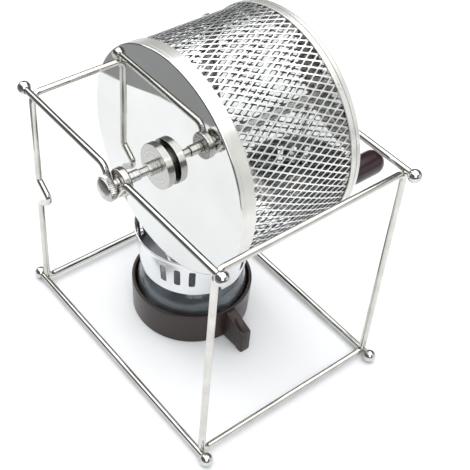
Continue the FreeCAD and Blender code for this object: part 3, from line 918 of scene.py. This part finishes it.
def handle_section(x):
    """The handle's lower and upper height and half width at a distance from the burner's middle."""
    slope = (x - slope_start) / (handle_tip - slope_start)
    top = handle_root_top + (handle_tip_top - handle_root_top) * max(0, min(1, slope))
    bottom = handle_rise * max(0, min(1, (foot_start + foot_step - x) / foot_step))
    past = max(0, (x - handle_tip + tip_round) / tip_round)
    pull = (1 - math.sqrt(max(0, 1 - past ** 2))) * tip_round
    return bottom, top, handle_half_width - pull


root_rows, tip_rows = 20, 5
handle_stations = [handle_root + (foot_start - handle_root) * k / root_rows for k in range(root_rows + 1)]
handle_stations += [foot_start + row for row in (foot_step, 1.6 * mm, 2.9 * mm)]
handle_stations += [handle_tip - tip_round * (1 - math.sin(math.radians(90 * k / tip_rows)))
                    for k in range(tip_rows + 1)]
points = []
for x in handle_stations:
    bottom, top, half = handle_section(x)
    ring = []
    for side_y, level, start in ((edge_round - half, bottom + edge_round, 180),
                                 (half - edge_round, bottom + edge_round, 270),
                                 (half - edge_round, top - edge_round, 0)):
        ring += arc_points((side_y, level), edge_round, start, start + 90, 4)
    for k in range(1, across_steps):
        ring.append((half - edge_round - 2 * (half - edge_round) * k / across_steps, top))
    ring += arc_points((edge_round - half, top - edge_round), edge_round, 90, 180, 4)
    for y, z in ring:
        away = math.hypot((x - hollow_middle) / hollow_half_length, y / hollow_half_width)
        if z > top - edge_round and away < 1:
            z -= hollow_depth * (1 - away ** 2)
        points.append(round_burner(x, y, z, handle_angle))
rows = len(handle_stations)
handle = new_piece("burner_cup_handle", points, stitched(rows, len(points) // rows), cup_plastic,
                   smooth_angle=50)
for piece in (cup, handle):
    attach(piece, "cup")
    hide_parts("burner_cup")


# Spirit bowl. Blown clear glass, slightly uneven, with a round shoulder and a short neck, standing in
# the cup.
bowl_glass = plain_material("bowl_glass", (0.62, 0.67, 0.72), 0.02)
glass_tree = bowl_glass.node_tree
glass_shader = glass_tree.nodes["Principled BSDF"]
glass_shader.inputs["Transmission Weight"].default_value = 0.93
glass_shader.inputs["IOR"].default_value = 1.5
flow = noise_node(glass_tree, stretched_place(glass_tree, object_place(glass_tree), (0.5, 0.5, 4)), 70, 2)
glass_tree.links.new(bump_node(glass_tree, flow, 0.35, 1 * mm), glass_shader.inputs["Normal"])
low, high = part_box("glass_bowl")
bowl_radius = (high.x - low.x) / 2
neck_radius_outer = 15.5 * mm
bowl_wall = 2.0 * mm
bowl_corner = 6.0 * mm
shoulder_top = 42.0 * mm - low.z
shoulder = bowl_radius - neck_radius_outer
shoulder_start = shoulder_top - shoulder
neck_length = high.z - low.z
lip = bowl_wall / 2
profile = [(0, 0)]
profile += arc_points((bowl_radius - bowl_corner, bowl_corner), bowl_corner, -90, 0, 8)
profile += arc_points((neck_radius_outer, shoulder_start), shoulder, 0, 90, 16)[:-1]
profile += [(neck_radius_outer, shoulder_top)]
profile += arc_points((neck_radius_outer - lip, neck_length - lip), lip, 0, 180, 8)
profile += [(neck_radius_outer - bowl_wall, shoulder_top - bowl_wall)]
profile += arc_points((neck_radius_outer, shoulder_start), shoulder - bowl_wall, 90, 0, 16)[1:]
profile += arc_points((bowl_radius - bowl_corner, bowl_corner), bowl_corner - bowl_wall, 0, -90, 6)
profile += [(0, bowl_wall)]
bowl = turned_piece("glass_bowl_blown", profile, Vector((burner.x, burner.y, low.z)), (0, 0, 1), bowl_glass,
                    segments=160, closed=False, smooth_angle=50)
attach(bowl, "bowl")
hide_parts("glass_bowl")


# Burner fittings. A spun steel collar crimped round the glass neck, a wick holder with a skirt and a tube
# that drops into the neck, and a flared wind guard with punched slots: bright outside, rougher and with
# painted shade on its inner wall, and with a darker painted shade on its floor.
guard_steel = polished_metal("burner_steel", (0.88, 0.89, 0.90), (0.80, 0.81, 0.82), scale=40, clear=0.10,
                             hazy=0.2, scratches=0.02)
# Painted shade: a darker, rougher copy of the burner steel that stands for the shade on the guard's inner
# wall.
guard_inner_painted_shade = polished_metal("burner_inner_painted_shade", (0.52, 0.53, 0.55), (0.38, 0.39, 0.41),
                                   scale=60, clear=0.16, hazy=0.3, scratches=0.04)
# Painted shade: a much darker copy of the burner steel that stands for the shade on the guard's floor.
guard_floor_painted_shade = polished_metal("burner_floor_painted_shade", (0.20, 0.205, 0.22), (0.13, 0.135, 0.145),
                                   scale=60, clear=0.25, hazy=0.4, scratches=0.04)
thin_sheet = 0.8 * mm
thin_ease = 0.3 * mm
low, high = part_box("bowl_collar")
collar_flange = (high.x - low.x) / 2
collar_height = high.z - low.z
collar_outer = neck_radius_outer + thin_sheet
collar_profile = [(neck_radius_outer, 0), (collar_flange, 0), (collar_flange, thin_sheet),
                  (collar_outer, thin_sheet), (collar_outer, collar_height),
                  (neck_radius_outer, collar_height)]
collar = turned_piece("bowl_collar_spun", eased(collar_profile, thin_ease),
                      Vector((burner.x, burner.y, low.z)), (0, 0, 1), guard_steel, segments=128)
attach(collar, "bowl")
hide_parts("bowl_collar")

low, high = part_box("wick_holder")
holder_flange = (high.x - low.x) / 2
tube_inner = 3.58 * mm
tube_outer = 4.28 * mm
skirt_outer = 13.1 * mm
skirt_length = 4.0 * mm
plate_z = 48.2 * mm
tube_lip = 0.35 * mm
plate_top = plate_z + thin_sheet
skirt_low = plate_z - skirt_length
skirt_inner = skirt_outer - thin_sheet
holder_profile = [(tube_inner, low.z), (tube_outer, low.z), (tube_outer, plate_z), (skirt_inner, plate_z),
                  (skirt_inner, skirt_low), (skirt_outer, skirt_low), (skirt_outer, plate_z),
                  (holder_flange, plate_z), (holder_flange, plate_top), (tube_outer, plate_top),
                  (tube_outer, high.z), (tube_inner, high.z)]
holder = turned_piece("wick_holder_pressed", eased(holder_profile, tube_lip), burner, (0, 0, 1),
                      guard_steel, segments=128)
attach(holder, "holder")
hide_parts("wick_holder")

low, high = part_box("wind_guard")
guard_sheet = 0.6 * mm
guard_lip_radius = (high.x - low.x) / 2
guard_top_radius = guard_lip_radius - 0.5 * mm
guard_bottom_radius = 33.0 * mm
guard_floor = 43.0 * mm
guard_hole = holder_flange + 0.5 * mm
guard_height = high.z - low.z


def guard_wall(z):
    return guard_bottom_radius + (guard_top_radius - guard_bottom_radius) * (z - low.z) / guard_height


guard_roll = 0.55 * mm
wall_steps = 12
guard_profile = [(guard_bottom_radius, low.z)]
for k in range(1, wall_steps):
    height = low.z + guard_height * k / wall_steps
    guard_profile.append((guard_wall(height), height))
guard_profile += arc_points((guard_lip_radius - guard_roll, high.z - guard_roll), guard_roll, -80, 180, 12)
floor_top = guard_floor + guard_sheet
guard_profile += [(guard_top_radius - guard_sheet, high.z - 2 * guard_roll),
                  (guard_wall(floor_top) - guard_sheet, floor_top), (guard_hole, floor_top),
                  (guard_hole, guard_floor), (guard_wall(guard_floor) - guard_sheet, guard_floor),
                  (guard_bottom_radius - guard_sheet, low.z)]
guard = turned_piece("wind_guard_spun", guard_profile, burner, (0, 0, 1), guard_steel,
                     segments=240)
slot_groups = 4
slots_in_group = 3
first_slot_angle = -69
slot_spacing = 15
slot_half_width = 2.0 * mm
slot_low = 47.0 * mm
slot_high = 61.0 * mm
slot_round = 1.3 * mm
slot_inner = guard_bottom_radius / 2
slot_outer = guard_lip_radius + 5 * mm
slot_outline = []
for middle_y, middle_z, start in ((slot_half_width - slot_round, slot_high - slot_round, 0),
                                  (slot_round - slot_half_width, slot_high - slot_round, 90),
                                  (slot_round - slot_half_width, slot_low + slot_round, 180),
                                  (slot_half_width - slot_round, slot_low + slot_round, 270)):
    slot_outline += arc_points((middle_y, middle_z), slot_round, start, start + 90, 5)
count = len(slot_outline)
points, faces = [], []
for place in range(slot_groups * slots_in_group):
    group, slot = divmod(place, slots_in_group)
    angle = math.radians(first_slot_angle + 360 / slot_groups * group + slot_spacing * slot)
    faces += [tuple(len(points) + i for i in face) for face in stitched(2, count)]
    for radius in (slot_inner, slot_outer):
        points += [round_burner(radius, y, z, angle) for y, z in slot_outline]
punch = new_piece("slot_punch", points, faces, guard_steel)
punching = guard.modifiers.new("slots", "BOOLEAN")
punching.operation = "DIFFERENCE"
punching.solver = "EXACT"
punching.object = punch
guard_now = guard.evaluated_get(bpy.context.evaluated_depsgraph_get())
punched = bpy.data.meshes.new_from_object(guard_now)
guard.modifiers.clear()
guard.data = punched
bpy.data.objects.remove(punch)
shade(punched, 40)
punched.materials.append(guard_inner_painted_shade)
punched.materials.append(guard_floor_painted_shade)
faces_up = 0.7
lip_low = high.z - 3 * guard_roll
# Faces turned inward below the lip take the inner wall's painted shade.
for face in punched.polygons:
    outward = Vector((face.center.x - burner.x, face.center.y - burner.y, 0))
    face.material_index = face.normal.dot(outward) < 0 and face.center.z < lip_low
    # Faces turned upward below the slots take the floor's darker painted shade.
    if face.normal.z > faces_up and face.center.z < slot_low:
        face.material_index = 2
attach(guard, "guard")
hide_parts("wind_guard")


# Wick. Braided white cotton cord, pulled through the holder's tube down into the bowl and trimmed just
# above the tube, where its strands fray.
wick_cotton = plain_material("wick_cotton", (0.82, 0.79, 0.72), 0.9)
cotton_tree = wick_cotton.node_tree
fibres = noise_node(cotton_tree, object_place(cotton_tree), 1400, 3)
dress(wick_cotton, fibres, (0.86, 0.83, 0.76), (0.66, 0.62, 0.54),
      Normal=bump_node(cotton_tree, fibres, 0.5, 0.3 * mm))
low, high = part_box("wick")
wick_radius = (high.x - low.x) / 2
strands = 8
braid_pitch = 9.0 * mm
braid_depth = 0.35 * mm
frayed_length = 1.5 * mm
fray_depth = 0.25 * mm
tuft_depth = 0.3 * mm
tuft_scale = 1500
rings = 150
crown_rings = 6
segments = 64
angles = [2 * math.pi * k / segments for k in range(segments)]
points = []
for i in range(rings + 1):
    z = low.z + (high.z - low.z) * i / rings
    fray = max(0, 1 - (high.z - z) / frayed_length) * fray_depth
    twist = math.pi * z / braid_pitch
    for angle in angles:
        over = abs(math.sin(strands / 2 * (angle + twist)))
        under = abs(math.sin(strands / 2 * (angle - twist)))
        radius = wick_radius - braid_depth * (1 - max(over, under)) - fray
        points.append(round_burner(radius, 0, z, angle))
for j in range(1, crown_rings):
    radius = (wick_radius - braid_depth) * (1 - j / crown_rings)
    for angle in angles:
        x, y = radius * math.cos(angle), radius * math.sin(angle)
        tuft = noise.noise(Vector((x, y, 0)) * tuft_scale) * tuft_depth
        points.append((burner.x + x, burner.y + y, high.z - tuft_depth + tuft))
wick = new_piece("wick_braid", points, stitched(rings + crown_rings, segments), wick_cotton,
                 smooth_angle=60)
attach(wick, "wick")
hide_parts("wick")
